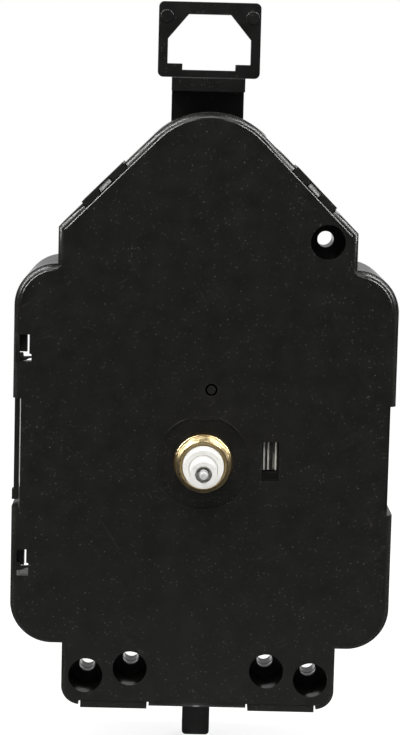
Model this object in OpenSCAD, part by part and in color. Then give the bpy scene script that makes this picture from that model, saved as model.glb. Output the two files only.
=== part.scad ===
// Pendulum clock movement: quartz hand train, pendulum drive, moulded case and hanger.
// X runs to the right, Z runs up and Y runs back from the dial side of the case.
// The origin is on the hand shaft's axis, on the front face of the case.

/* [Case] */
// Width of the square body
body_w = 56; // [56:0.5:62]
// Height of the body's top edge above the hand shaft
body_top = 28.7; // [28:0.1:32]
// Depth of the body's bottom edge below the hand shaft
body_drop = 27.6; // [27:0.1:30]
// Radius of the shoulders and of the body's lower corners
corner_r = 6.2; // [5:0.1:7]
// Front to back depth of the body
body_depth = 20.5; // [20.5:0.1:24]
// Front to back depth of the roof and of the foot
thin_depth = 14; // [13.8:0.1:15]
// Width of the roof between its upright walls
roof_w = 43.5; // [42:0.5:46]
// Height of the eaves above the hand shaft
eaves_z = 34.05; // [33:0.1:37]
// Radius of the round ridge
ridge_r = 11.4; // [9:0.1:14]
// Width of the foot
foot_w = 40.5; // [39.5:0.1:43]
// Depth of the foot's bottom edge below the hand shaft
foot_drop = 36.9; // [36.5:0.1:40]
// Radius of the foot's lower corners
foot_r = 2.8; // [1.5:0.1:4]
// Thickness of the side walls and of the back
wall = 1.1; // [0.9:0.05:1.3]
// Thickness of the front plate
face_t = 1.5; // [1.2:0.1:1.6]
// Rounding of the front edge
edge_r = 0.9; // [0.3:0.1:1]
// Depth of the joint line between the front cover and the rear case at the body
joint_y = 4.5; // [4:0.1:4.6]
// Gap left between pieces that slip together
slip = 0.15; // [0.1:0.05:0.25]

/* [Side notches] */
// Depth of the grip notch in each side of the front cover
notch_depth = 1.2; // [1:0.1:1.6]
// Depth of the notch that goes on in the rear case's right side
rear_notch_depth = 0.4; // [0.2:0.05:0.8]
// Thickness of the spring finger in the left notch
finger_t = 0.75; // [0.5:0.05:0.8]
// Upper end of the notches
notch_top = 8.9; // [8:0.1:9.2]
// Lower end of the notches
notch_drop = 7.2; // [5:0.1:9]

/* [Screw holes] */
// Radius of the screw holes
screw_r = 1.2; // [0.9:0.1:1.4]
// Radius of the counterbores for the screw heads
head_r = 2.55; // [2.2:0.05:2.7]
// Depth of the counterbores
head_depth = 7; // [5:0.5:8]
// Thickness of the seat under each screw head
seat_t = 1.7; // [1:0.1:2]
// Distance of the inner foot screws from the middle
inner_screw_x = 10.1; // [9.8:0.1:10.4]
// Depth of the inner foot screws below the hand shaft
inner_screw_drop = 31.05; // [31:0.05:31.8]
// Distance of the outer foot screws from the middle
outer_screw_x = 16.65; // [16.3:0.05:16.8]
// Depth of the outer foot screws below the hand shaft
outer_screw_drop = 32.25; // [31.5:0.05:32.4]
// Distance of the roof screw from the middle
roof_screw_x = 17.35; // [16:0.05:17.6]
// Height of the roof screw above the hand shaft
roof_screw_z = 32.75; // [32:0.05:33.2]

/* [Hanger] */
// Outer width of the hanging loop
loop_w = 15; // [14.5:0.1:17]
// Outer height of the hanging loop
loop_h = 11; // [10.5:0.1:13]
// Height of the loop's lower edge above the hand shaft
loop_z = 55.96; // [55.5:0.1:58]
// Thickness of the loop
loop_t = 2; // [1.6:0.1:2.6]
// Depth of the loop's front behind the dial side of the case
loop_y = 8; // [7:0.1:9]
// Width of the tongue that joins the loop to the case
tongue_w = 10.8; // [9.5:0.1:11.2]
// Thickness of the tongue
tongue_t = 1.6; // [1.2:0.1:2]
// Sideways seat of the hanger, to the left of the middle
hanger_x = -0.5; // [-0.8:0.1:0.8]

/* [Hand shaft] */
// Radius of the threaded bush, M8
bush_r = 4; // [3.9:0.05:4.2]
// Length of the bush in front of the case
bush_reach = 3.2; // [2.5:0.1:5.5]
// Radius of the flange behind the front plate
flange_r = 5.5; // [5:0.1:6]
// Thickness of the flange
flange_t = 0.9; // [0.7:0.1:1]
// Radius of the hour hand's seat on the hour pipe
hour_r = 2.8; // [2.65:0.05:2.95]
// Reach of the hour pipe in front of the case
hour_reach = 5.9; // [5.6:0.1:8]
// Radius of the minute hand's seat on the minute pipe
minute_r = 1.85; // [1.8:0.05:1.95]
// Reach of the minute pipe in front of the case
minute_reach = 10.3; // [9:0.1:12]
// Radius of the fixed tube that carries the minute pipe
tube_r = 1.15; // [1.1:0.05:1.25]
// Radius of the second hand's seat on the seconds shaft
second_r = 0.5; // [0.4:0.05:0.55]
// Step in radius from a hand's seat to the running part of its pipe or shaft
seat_step = 0.2; // [0.18:0.01:0.22]
// Reach of the seconds shaft in front of the case
second_reach = 11.6; // [11:0.1:14]
// Radial running clearance of shafts, pipes and pivots
run = 0.05; // [0.03:0.01:0.08]

/* [Hand train] */
// Distance from the hand shaft to the third wheel
third_arm = 8.4; // [8.2:0.1:8.6]
// Direction of the third wheel from the hand shaft
third_angle = 215; // [212:1:218]
// Distance from the hand shaft to the transfer wheel
transfer_arm = 8.6; // [8.5:0.05:8.8]
// Direction of the transfer wheel from the hand shaft
transfer_angle = 150; // [148:1:152]
// Direction of the setting stem from the transfer wheel
stem_angle = 200; // [196:1:204]
// Distance from the hand shaft to the intermediate wheel
inter_arm = 6.2; // [6:0.1:6.4]
// Direction of the intermediate wheel from the hand shaft
inter_angle = -35; // [-38:1:-32]
// Distance from the intermediate wheel to the rotor
rotor_arm = 5.8; // [5.6:0.1:6]
// Direction of the rotor from the intermediate wheel
rotor_angle = -20; // [-24:1:-16]
// Thickness of the toothed rims
rim_t = 0.7; // [0.5:0.05:0.75]
// Share of the tooth pitch that is left as play
play = 0.14; // [0.1:0.01:0.2]

/* [Motor] */
// Radius of the rotor's magnet
magnet_r = 2.2; // [1.8:0.1:2.4]
// Air gap between the magnet and the stator
air_gap = 0.5; // [0.4:0.05:0.7]
// Thickness of the stator plate
stator_t = 0.8; // [0.6:0.05:0.9]
// Distance of the motor coil from the hand shaft
coil_x = 19.5; // [19:0.1:20]
// Outer radius of the motor coil
coil_r = 2.8; // [2.2:0.1:2.9]
// Length of the motor coil's winding
coil_length = 13.4; // [10:0.1:13.6]

/* [Battery bay] */
// Radius of the dry cell that the bay takes
cell_r = 7.25; // [7:0.05:7.25]
// Length of the dry cell that the bay takes
cell_length = 50.5; // [49:0.1:50.5]
// Height of the dry cell's axis above the hand shaft
cell_z = 17.2; // [17.1:0.05:17.4]
// Room left round the dry cell
cell_room = 0.35; // [0.2:0.05:0.4]
// Thickness of the contact strip
strip_t = 0.3; // [0.2:0.05:0.35]

/* [Setting knob] */
// Radius of the setting knob
knob_r = 4.4; // [3.5:0.1:4.6]
// Height of the setting knob
knob_t = 2.6; // [2:0.1:3]
// Number of grip flutes round the knob
knob_flutes = 16; // [12:2:20]
// Radius of the setting stem
stem_r = 1.1; // [0.9:0.05:1.2]

/* [Pendulum] */
// Height of the pendulum's pivot above the hand shaft
pivot_z = 4.5; // [4:0.1:4.8]
// Radius of the pivot pin
pivot_r = 0.8; // [0.6:0.05:0.9]
// Swing to each side, in degrees
swing = 6.5; // [3:0.5:7]
// Width of the pendulum hook
hook_w = 4.2; // [3.5:0.1:4.6]
// Depth of the hook's lower end below the hand shaft
hook_drop = 45.2; // [43:0.1:47]
// Thickness of the pendulum arm
arm_t = 1.8; // [1.6:0.1:2]
// Radius of the magnet on the pendulum arm
swing_magnet_r = 3.6; // [3:0.1:3.8]
// Outer radius of the drive coil
drive_coil_r = 4.2; // [3.6:0.1:4.3]
// Depth of the drive coil's axis below the hand shaft
drive_drop = 30.9; // [30.8:0.1:31.1]

/* [Hidden] */
$fn = 48;
cut = 1;                                  // length by which a cutting body runs past a face
black = "#232322";
white = "#f2f0ea";
brass = "#d9b45a";
steel = "#b9bcc0";
copper = "#b5652f";
body_x = body_w / 2;
ridge_z = eaves_z + roof_w / 2 - ridge_r * sqrt(2);     // centre of the ridge's arc

// Layers of the movement, as depths behind the front face
hour_y = face_t + flange_t + 0.3;         // hour wheel and the transfer wheel's pinion
cannon_y = hour_y + rim_t + 0.3;          // cannon pinion, transfer wheel and stem pinion
minute_y = cannon_y + rim_t + 0.3;        // minute wheel and the third wheel's pinion
plate_y = minute_y + rim_t + 0.4;         // middle plate
plate_t = 1;
third_y = plate_y + plate_t + 0.3;        // third wheel and the seconds pinion
second_y = third_y + rim_t + 0.3;         // seconds wheel and the intermediate pinion
inter_y = second_y + rim_t + 0.3;         // intermediate wheel and the rotor pinion
cover_y = inter_y + rim_t + 0.6;          // train cover
cover_t = 1;
board_y = plate_y + 0.2;                  // circuit board
board_t = 1;
stator_y = plate_y + plate_t + 0.6;       // stator plate
bay_wall = 0.9;
bay_half = cell_r + cell_room;
train_top = cell_z - bay_half - bay_wall - 0.5;         // room for the train below the bay
train_drop = 13;
stator_bar = 2.2;
coil_low = train_top - stator_bar - 1.6 - coil_length;  // lower end of the motor coil
stator_drop = stator_bar + 0.8 - coil_low;
coil_half = coil_r + 0.3;                               // half the side of its square flanges
coil_y = stator_y + stator_t * 1.5;       // axis of the motor coil
bay_y = cannon_y + rim_t + 0.3;           // front of the battery bay's wall

// Tooth numbers: rotor to seconds 30, seconds to minutes 60, minutes to hours 12
rotor_teeth = 8;
inter_teeth = 48;
inter_leaves = 8;
second_teeth = 40;
second_leaves = 8;
third_teeth = 60;
third_leaves = 8;
minute_teeth = 64;
cannon_teeth = 15;
transfer_teeth = 45;
transfer_leaves = 10;
hour_teeth = 40;
stem_teeth = 12;

function polar(r, a) = [r * cos(a), r * sin(a)];
function share(a, b) = a / (a + b);       // part of a centre distance that one gear takes
third_at = polar(third_arm, third_angle);
transfer_at = polar(transfer_arm, transfer_angle);
transfer_r = transfer_arm * share(transfer_teeth, cannon_teeth);
stem_pitch_r = transfer_r * stem_teeth / transfer_teeth;
stem_at = transfer_at + polar(transfer_r + stem_pitch_r, stem_angle);
inter_at = polar(inter_arm, inter_angle);
rotor_at = inter_at + polar(rotor_arm, rotor_angle);
arbor_r = 0.45;
pivot_end_r = 0.3;
pivot_length = 0.6;
hour_run_r = hour_r + seat_step;
minute_run_r = minute_r + seat_step;
second_run_r = second_r + seat_step;
collar_r = bush_r + 0.4;                  // part of the bush that fills the hole in the case
tube_reach = minute_reach - 1.4;

// Screw holes, inner foot pair, outer foot pair and roof
screws = [[-inner_screw_x, -inner_screw_drop], [inner_screw_x, -inner_screw_drop],
          [-outer_screw_x, -outer_screw_drop], [outer_screw_x, -outer_screw_drop],
          [roof_screw_x, roof_screw_z]];
post_r = head_r + 0.75;
post_end = head_depth + seat_t;
thin_joint_y = post_end + 0.1;            // joint line at the roof and at the foot
tube_in_r = 2.9;                          // clear way behind each screw seat
tube_out_r = 3.6;

// Pillars for the middle plate, pegs for the circuit board and legs for the train cover
pillar_left = -body_x + 7.5;
pillar_right = coil_x - coil_half - 3;
pillars = [[pillar_left, 2.8 - train_drop], [pillar_left, train_top - 2.2],
           [pillar_right, train_top - 2], [pillar_right, 2 - train_drop]];
board_w = 2 * (body_x - wall - 5.4);
board_top = -train_drop - 1;
board_low = 1.6 - body_drop;
board_mid = (board_top + board_low) / 2;
pegs = [for (x = [2 - board_w / 2, board_w / 2 - 2], z = [board_top - 1.7, board_low + 1.5]) [x, z]];
legs = [[-8.5, train_top - 2], [pillar_left + 4, 3.5 - train_drop], [4.5, train_top - 1.3],
        [4.5, 1.5 - train_drop]];

// Snap fits: windows in the left edge, tabs in the foot and tabs in the roof slopes
window_w = 2.15;
window_x = -body_x + 0.5;
windows = [[body_top - 14.3, body_top - 10.4], [10.2 - body_drop, 14.1 - body_drop]];
channel_x = -body_x + 2.5;
foot_tab = [foot_w / 2 - 12.75, foot_w / 2 - 2.9];
foot_tab_t = 1;
roof_tab_length = 8.25;
roof_tab_t = 0.7;
roof_tab_along = 4.9;                     // from the eaves corner to the tab's near end
catch_length = 2.6;
latch_x = [8.64, 11.09];                  // slot to the right of the hand shaft
latch_z = [-2.46, 3.32];

// Battery bay
bay_right = body_x - wall;
bay_left = bay_right - cell_length - 2 * strip_t - 0.8;
bay_floor_t = 0.7;
strip_w = 3;
strip_y = board_y + board_t;

// Recess in which the pendulum arm swings
recess_top = pivot_z + 3.1;
recess_floor = thin_depth - wall;
arm_y = thin_depth + 1;
hub_r = 2.3;
cup_r = swing_magnet_r + 1;
recess_top_x = hub_r + 1.1;
recess_low_x = cup_r + 1 + (drive_drop + pivot_z) * sin(swing);
knob_y = body_depth - 0.7 - knob_t;
knob_floor = knob_y - 2;

// Pocket on the back of the roof that takes the hanger's tongue
ridge_top = ridge_z + ridge_r;
tongue_low = ridge_top - 14;

// Draws its 2D child, x to the right and z up, as a body from one depth to another
module slab(front, back) {
    translate([0, back, 0]) rotate([90, 0, 0]) linear_extrude(back - front) children();
}

module rod(at, front, back, r) {
    translate([at[0], back, at[1]]) rotate([90, 0, 0]) cylinder(h = back - front, r = r);
}

module block(x, y, z) {
    translate([x[0], y[0], z[0]]) cube([x[1] - x[0], y[1] - y[0], z[1] - z[0]]);
}

module both_sides() {
    children();
    mirror([1, 0, 0]) children();
}

// Rectangle with four round corners
module rounded(x, z, r) {
    translate([x[0] + r, z[0]]) square([x[1] - x[0] - 2 * r, z[1] - z[0]]);
    translate([x[0], z[0] + r]) square([x[1] - x[0], z[1] - z[0] - 2 * r]);
    for (px = [x[0] + r, x[1] - r], pz = [z[0] + r, z[1] - r]) translate([px, pz]) circle(r);
}

module body_outline(inset = 0) {
    rounded([inset - body_x, body_x - inset], [inset - body_drop, body_top - inset],
            corner_r - inset);
}

module roof_outline(inset = 0) {
    half = roof_w / 2 - inset;
    corner = eaves_z - inset * (sqrt(2) - 1);
    r = ridge_r - inset;
    touch = r / sqrt(2);
    polygon([[-half, body_top - corner_r], [half, body_top - corner_r], [half, corner],
             [touch, ridge_z + touch], [-touch, ridge_z + touch], [-half, corner]]);
    translate([0, ridge_z]) circle(r);
}

module foot_outline(inset = 0) {
    rounded([inset - foot_w / 2, foot_w / 2 - inset],
            [inset - foot_drop, corner_r - body_drop], foot_r - inset);
}

// Foot, with a round housing where the drive coil is set lower than the foot holds
module foot_and_coil_outline(inset = 0) {
    foot_outline(inset);
    translate([0, -drive_drop]) circle(drive_coil_r + 0.6 + wall - inset);
}

module case_outline(inset = 0) {
    body_outline(inset);
    roof_outline(inset);
    foot_and_coil_outline(inset);
}

// Grip notch in the right side, to a stated depth and grown by a wall
module notch(deep = notch_depth, grow = 0) {
    translate([body_x - deep - grow, -notch_drop - grow])
        square([deep + grow + cut, notch_top + notch_drop + 2 * grow]);
}

// Notches of the rear case: shallow on the right, as deep as the cover's on the left
module rear_notches(grow = 0) {
    notch(rear_notch_depth, grow);
    mirror([1, 0]) notch(notch_depth, grow);
}

// Roof and foot where they stand out of the body, with room left beside it
module outside_body() {
    difference() {
        case_outline();
        translate([-body_w, -body_drop - 0.05]) square([2 * body_w, body_drop + body_top + 0.1]);
    }
}

// Open way in the left edge behind each latch window
module channels(grow = 0) {
    for (w = windows)
        translate([-body_x - cut, w[0] - 2.9 - grow])
            square([channel_x + body_x + cut + grow, w[1] - w[0] + 3 + 2 * grow]);
}

// Front edge with its rounding, one convex stretch at a time
module rounded_front() {
    hull() for (s = [0, 0.3, 1]) edge_slice(s) body_outline(edge_r * pow(1 - s, 2));
    hull() for (s = [0, 0.3, 1]) edge_slice(s) roof_outline(edge_r * pow(1 - s, 2));
    hull() for (s = [0, 0.3, 1]) edge_slice(s) foot_outline(edge_r * pow(1 - s, 2));
}

module edge_slice(s) {
    translate([0, s * edge_r + 0.02, 0]) rotate([90, 0, 0]) linear_extrude(0.02, $fn = 32) children();
}

// Region of a snap tab in the right-hand roof slope, thick inwards from the surface
module roof_tab(length, thick, y) {
    translate([roof_w / 2, 0, eaves_z]) rotate([0, -45, 0])
        translate([-thick, y[0], roof_tab_along + (roof_tab_length - length) / 2])
            cube([thick + 0.3, y[1] - y[0], length]);
}

// Toothed outline with involute flanks at a pressure angle of 20 degrees
function involute(a) = tan(a) * 180 / PI - a;
function half_tooth(r, pitch_r, teeth) =
    let (base = pitch_r * cos(20), a = r > base ? acos(base / r) : 0)
    90 / teeth * (1 - play) + involute(20) - involute(a);
module teeth_outline(teeth, pitch_r, phase, tip, root) {
    module_mm = 2 * pitch_r / teeth;
    radii = [pitch_r - root * module_mm, pitch_r, pitch_r + tip * module_mm];
    polygon([for (i = [0:teeth - 1], side = [-1, 1], k = [0:2])
        let (r = radii[side < 0 ? k : 2 - k],
             a = phase + 360 * i / teeth + side * half_tooth(r, pitch_r, teeth))
        polar(r, a)]);
}

module wheel(at, front, teeth, pitch_r, phase, thick = rim_t) {
    slab(front, front + thick) translate(at) teeth_outline(teeth, pitch_r, phase, 0.7, 1.1);
}

module pinion(at, front, teeth, pitch_r, phase, thick = rim_t + 0.2) {
    slab(front - 0.1, front - 0.1 + thick)
        translate(at) teeth_outline(teeth, pitch_r, phase, 0.7, 1.15);
}

// Shallow front cover with the dial side's plate, posts, pillars and bearings
module front_case() {
    color(black) difference() {
        union() {
            difference() {
                union() {
                    rounded_front();
                    slab(edge_r, joint_y) case_outline();
                    slab(joint_y - 0.01, thin_joint_y) outside_body();
                }
                slab(face_t, thin_joint_y + cut) case_outline(wall);
            }
            for (s = screws) rod(s, edge_r, post_end, post_r);
            for (p = pillars) {
                rod(p, edge_r, plate_y, 1.4);
                rod(p, edge_r, plate_y + plate_t, 0.7);
            }
            for (p = pegs) {
                rod(p, edge_r, board_y, 1.2);
                rod(p, edge_r, board_y + board_t + 0.3, 0.6);
            }
            rod(third_at, edge_r, minute_y - 0.5, 0.8);
            rod(transfer_at, edge_r, hour_y - 0.25, 0.9);
            rod(stem_at, edge_r, cannon_y - 0.3, 1.5);
            rod([0, -drive_drop], edge_r, board_y, 3);
            rod([0, -drive_drop], edge_r, recess_floor - 0.6, 1.4);
            intersection() {
                slab(edge_r, joint_y) case_outline();
                slab(edge_r, joint_y) both_sides() notch(notch_depth, wall);
            }
            block([latch_x[0] - 0.6, latch_x[1] + 0.6], [edge_r, 3], [latch_z[0] - 0.6, -1.25]);
        }
        slab(-cut, joint_y + cut) both_sides() notch();
        for (s = screws) {
            rod(s, -cut, head_depth, head_r);
            rod(s, -cut, post_end + cut, screw_r);
        }
        rod([0, 0], -cut, face_t + cut, collar_r + 0.01);
        shaft_recess();
        gate_ring();
        for (w = windows) {
            block([window_x, window_x + window_w], [-cut, joint_y + cut], w);
            block([window_x, window_x + window_w], [face_t, joint_y + cut], [w[0], w[1] + 2.3]);
        }
        block(latch_x, [-cut, 1.2], latch_z);
        block(latch_x, [-cut, joint_y], [-1.25, latch_z[1]]);
        both_sides() block([foot_tab[0] - 0.3, foot_tab[1] + 0.3], [-cut, thin_joint_y + cut],
                           [-foot_drop - cut, -foot_drop + foot_tab_t - 0.2]);
        both_sides() roof_tab(roof_tab_length + 2 * slip, roof_tab_t + slip,
                              [-cut, thin_joint_y + cut]);
        rod(third_at, face_t + 0.3, minute_y, pivot_end_r + run);
        rod(transfer_at, face_t + 0.1, hour_y, pivot_end_r + run);
        rod(stem_at, face_t + 0.2, cannon_y, 0.6 + run);
    }
}

// Round recess round the bush, its top cut off by a shallow curve
module shaft_recess() {
    slab(-cut, 0.3) difference() {
        circle(6.85);
        translate([0, 6.3 + 15]) circle(15);
    }
}

// Fine ring groove above the shaft, left by the mould
module gate_ring() {
    slab(-cut, 0.12) translate([0.94, 10.81]) difference() {
        circle(0.9);
        circle(0.62);
    }
}

// Deep rear case: battery bay, knob cup, pendulum recess, snap tabs and hanger pocket
module rear_case() {
    color(black) difference() {
        union() {
            difference() {
                rear_solid();
                rear_cavity();
            }
            intersection() {
                rear_solid();
                union() {
                    block([bay_left - 0.5, body_x], [bay_y, body_depth],
                          [cell_z - bay_half - bay_wall, cell_z + bay_half + bay_wall]);
                    slab(recess_floor, body_depth) recess_outline(wall);
                    rod(stem_at, knob_floor - wall, body_depth, knob_r + 0.8 + wall);
                    for (s = screws) rod(s, thin_joint_y, thin_depth, tube_out_r);
                }
            }
            battery_box_front();
            rod([0, pivot_z], recess_floor - 0.6, thin_depth + 0.3, pivot_r + 1.2);
            snap_tabs();
            hanger_pocket();
        }
        block([bay_left, bay_right], [bay_y + bay_floor_t, body_depth + cut],
              [cell_z - bay_half, cell_z + bay_half]);
        slab(thin_depth, body_depth + cut) recess_outline();
        rod(stem_at, knob_floor, body_depth + cut, knob_r + 0.8);
        rod(stem_at, knob_floor - wall - cut, body_depth, stem_r + run);
        for (s = screws) rod(s, post_end, thin_depth + cut, tube_in_r);
        rod([0, pivot_z], recess_floor - 0.2, thin_depth + cut, pivot_r + 0.01);
        for (x = [bay_right - 2, bay_left + 1.3])
            block([x - 0.45, x + 0.45], [strip_y - 0.1, strip_y + strip_w + 0.1],
                  [cell_z - bay_half - bay_wall - cut, cell_z - bay_half + 0.01]);
        translate([0, 0, pivot_z]) rotate([90, 0, 0])
            translate([0, 0, -thin_depth - 0.3 - cut]) cylinder(h = cut, r = hub_r + 0.3);
    }
}

// Body, roof and foot blocks of the rear case, with the side openings taken off
module rear_solid() {
    difference() {
        union() {
            slab(joint_y + 0.02, body_depth) body_outline();
            slab(thin_joint_y + 0.02, thin_depth) case_outline();
        }
        slab(joint_y, body_depth + cut) rear_notches();
        slab(joint_y, body_depth + cut) channels();
    }
}

module rear_cavity() {
    difference() {
        union() {
            slab(joint_y - cut, body_depth - wall) body_outline(wall);
            slab(joint_y - cut, recess_floor) case_outline(wall);
        }
        slab(joint_y - 2 * cut, body_depth + cut) rear_notches(wall);
        slab(joint_y - 2 * cut, body_depth + cut) channels(wall);
    }
}

// Front of the battery bay, which stands into the front cover's hollow
module battery_box_front() {
    difference() {
        block([bay_left - 0.5, bay_right], [bay_y, joint_y + 1],
              [cell_z - bay_half - bay_wall, cell_z + bay_half + bay_wall]);
        slab(bay_y - cut, joint_y + 2) difference() {
            square(4 * body_w, center = true);
            body_outline(wall + slip);
        }
        slab(bay_y - cut, joint_y + 2) channels();
    }
}

// Wedge in which the pendulum arm swings, open at the back and below
module recess_outline(grow = 0) {
    low = body_drop + 2;
    polygon([[-recess_top_x - grow, recess_top + grow], [recess_top_x + grow, recess_top + grow],
             [recess_low_x + grow, -low], [-recess_low_x - grow, -low]]);
}

// Tabs and hooks that hold the front cover: roof slopes, foot, left edge and latch windows
module snap_tabs() {
    both_sides() difference() {
        roof_tab(roof_tab_length, roof_tab_t, [0.4, thin_joint_y + 1]);
        roof_tab(catch_length, roof_tab_t + cut, [0, 1.4]);
    }
    both_sides() block(foot_tab, [0.3, thin_joint_y + 1],
                       [-foot_drop - 0.3, -foot_drop + foot_tab_t - 0.3]);
    block([-body_x, finger_t - body_x], [joint_y + 0.02, joint_y + 1.6],
          [-notch_drop + 0.35, notch_top + 0.5]);
    block([-body_x - 0.25, finger_t - body_x], [joint_y + 0.02, joint_y + 1.6],
          [-notch_drop + 0.35, -notch_drop + 1.9]);
    for (w = windows) {
        block([window_x + 0.1, window_x + 1.4], [1.8, joint_y + 3], [w[1] + 0.15, w[1] + 2]);
        block([window_x + 0.1, window_x + 1.4], [1.8, 3.3], [w[0] + 1.2, w[1] + 0.2]);
    }
}

// Rails and bridge on the back of the roof that hold the hanger's tongue
module hanger_pocket() {
    half = tongue_w / 2 + slip;
    back = thin_depth + tongue_t + slip;
    rail = 1.3;
    translate([hanger_x, 0, 0]) {
        both_sides() block([half, half + rail], [recess_floor, back + 1.2],
                           [tongue_low - 0.5, ridge_top - 3.6]);
        block([-half - rail, half + rail], [back, back + 1.2], [tongue_low + 3, tongue_low + 8.5]);
        block([-half - rail, half + rail], [recess_floor, back],
              [tongue_low - slip - rail, tongue_low - slip]);
    }
}

// Hanging loop on a cranked tongue, moulded in one piece
module hanger() {
    middle = 2;                            // height of the crank between tongue and loop
    color(black) translate([hanger_x, 0, 0]) {
        slab(loop_y, loop_y + loop_t) translate([0, loop_z]) difference() {
            rounded([-loop_w / 2, loop_w / 2], [0, loop_h], 0.8);
            loop_opening();
        }
        block([-tongue_w / 2, tongue_w / 2], [loop_y - 0.5, thin_depth + slip / 2 + tongue_t],
              [loop_z - middle, loop_z]);
        block([-tongue_w / 2, tongue_w / 2], [thin_depth + slip / 2, thin_depth + slip / 2 + tongue_t],
              [tongue_low, loop_z - middle + 0.01]);
        for (x = [-1, 1]) rod([x * (loop_w / 2 - 1.2), loop_z + loop_h - 2.2], loop_y - 0.15,
                              loop_y + loop_t, 0.95);
    }
}

// Opening of the loop: chamfered above, stepped below
module loop_opening() {
    side = loop_w / 2 - 1.4;
    step = side - 2.2;
    polygon([[-step, 1.1], [step, 1.1], [step, 2], [side, 2], [side, loop_h - 5.4],
             [side - 3, loop_h - 1.8], [3 - side, loop_h - 1.8], [-side, loop_h - 5.4],
             [-side, 2], [-step, 2]]);
}

// Threaded brass bush that clamps the movement to the dial
module dial_bush() {
    color(brass) difference() {
        union() {
            rod([0, 0], -bush_reach, 0.01, bush_r);
            rod([0, 0], 0, face_t + flange_t, collar_r);
            rod([0, 0], face_t + 0.01, face_t + flange_t, flange_r);
        }
        rod([0, 0], -bush_reach - cut, face_t + flange_t + cut, hour_run_r + run);
    }
}

module hour_wheel() {
    color(white) difference() {
        union() {
            wheel([0, 0], hour_y, hour_teeth, transfer_arm * share(hour_teeth, transfer_leaves),
                  transfer_angle);
            rod([0, 0], -hour_reach, hour_y, hour_r);
            rod([0, 0], -bush_reach - 0.3, hour_y + rim_t, hour_run_r);
        }
        rod([0, 0], -hour_reach - cut, hour_y + rim_t + cut, minute_run_r + run);
    }
}

// Minute pipe with its wheel behind and the cannon pinion in front of it
module minute_wheel() {
    gap = 180 / cannon_teeth;
    color(white) difference() {
        union() {
            wheel([0, 0], minute_y, minute_teeth, third_arm * share(minute_teeth, third_leaves),
                  third_angle);
            pinion([0, 0], cannon_y, cannon_teeth,
                   transfer_arm * share(cannon_teeth, transfer_teeth), transfer_angle + gap,
                   rim_t + 0.4);
            rod([0, 0], -minute_reach, cannon_y, minute_r);
            rod([0, 0], -hour_reach - 0.3, cannon_y - 0.1, minute_run_r);
        }
        rod([0, 0], -minute_reach - cut, minute_y + rim_t + cut, tube_r + run);
    }
}

// Reduces the minute pipe's turns to the hour wheel's
module transfer_wheel() {
    color(white) {
        wheel(transfer_at, cannon_y, transfer_teeth, transfer_r, transfer_angle + 180);
        pinion(transfer_at, hour_y, transfer_leaves,
               transfer_arm * share(transfer_leaves, hour_teeth),
               transfer_angle + 180 + 180 / transfer_leaves, cannon_y - hour_y + 0.1);
        rod(transfer_at, cannon_y, plate_y - 0.15, arbor_r);
        rod(transfer_at, face_t + 0.2, plate_y + pivot_length, pivot_end_r);
    }
}

module third_wheel() {
    color(white) {
        wheel(third_at, third_y, third_teeth, third_arm * share(third_teeth, second_leaves),
              third_angle + 180);
        pinion(third_at, minute_y, third_leaves, third_arm * share(third_leaves, minute_teeth),
               third_angle + 180 + 180 / third_leaves);
        rod(third_at, minute_y, cover_y - 0.15, arbor_r);
        rod(third_at, minute_y - 0.9, cover_y + pivot_length, pivot_end_r);
    }
}

module second_wheel() {
    color(white) difference() {
        union() {
            wheel([0, 0], second_y, second_teeth, inter_arm * share(second_teeth, inter_leaves),
                  inter_angle);
            pinion([0, 0], third_y, second_leaves, third_arm * share(second_leaves, third_teeth),
                   third_angle + 180 / second_leaves, second_y - third_y + 0.1);
        }
        rod([0, 0], third_y - cut, second_y + rim_t + cut, arbor_r + 0.01);
    }
}

module second_shaft() {
    color(steel) {
        rod([0, 0], -second_reach, 0, second_r);
        rod([0, 0], 0.2 - minute_reach, third_y - 0.15, second_run_r);
        rod([0, 0], 0, cover_y + pivot_length, arbor_r);
    }
}

module intermediate_wheel() {
    color(white) {
        wheel(inter_at, inter_y, inter_teeth, rotor_arm * share(inter_teeth, rotor_teeth),
              rotor_angle);
        pinion(inter_at, second_y, inter_leaves, inter_arm * share(inter_leaves, second_teeth),
               inter_angle + 180 + 180 / inter_leaves, inter_y - second_y + 0.1);
        rod(inter_at, plate_y + plate_t + 0.15, cover_y - 0.15, arbor_r);
        rod(inter_at, plate_y + plate_t - pivot_length, cover_y + pivot_length, pivot_end_r);
    }
}

module rotor_pinion() {
    color(white) {
        pinion(rotor_at, inter_y, rotor_teeth, rotor_arm * share(rotor_teeth, inter_teeth),
               rotor_angle + 180 + 180 / rotor_teeth);
        rod(rotor_at, plate_y + plate_t + 0.15, cover_y - 0.15, arbor_r);
        rod(rotor_at, plate_y + plate_t - pivot_length, cover_y + pivot_length, pivot_end_r);
    }
}

module rotor_magnet() {
    color("#4b4c50") difference() {
        rod(rotor_at, stator_y - 0.3, stator_y + stator_t + 0.3, magnet_r);
        rod(rotor_at, stator_y - cut, stator_y + stator_t + cut, arbor_r + 0.01);
    }
}

// Stem whose pinion drives the transfer wheel when the hands are set
module setting_stem() {
    theta = stem_angle;
    follow = (theta - transfer_angle - 180) * transfer_teeth / stem_teeth;
    color(white) {
        pinion(stem_at, cannon_y, stem_teeth, stem_pitch_r,
               theta + 180 + follow + 180 / stem_teeth);
        rod(stem_at, cannon_y + rim_t, knob_y + knob_t - 0.8, stem_r);
        rod(stem_at, cannon_y - 0.9, cannon_y + rim_t, 0.6);
    }
}

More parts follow.
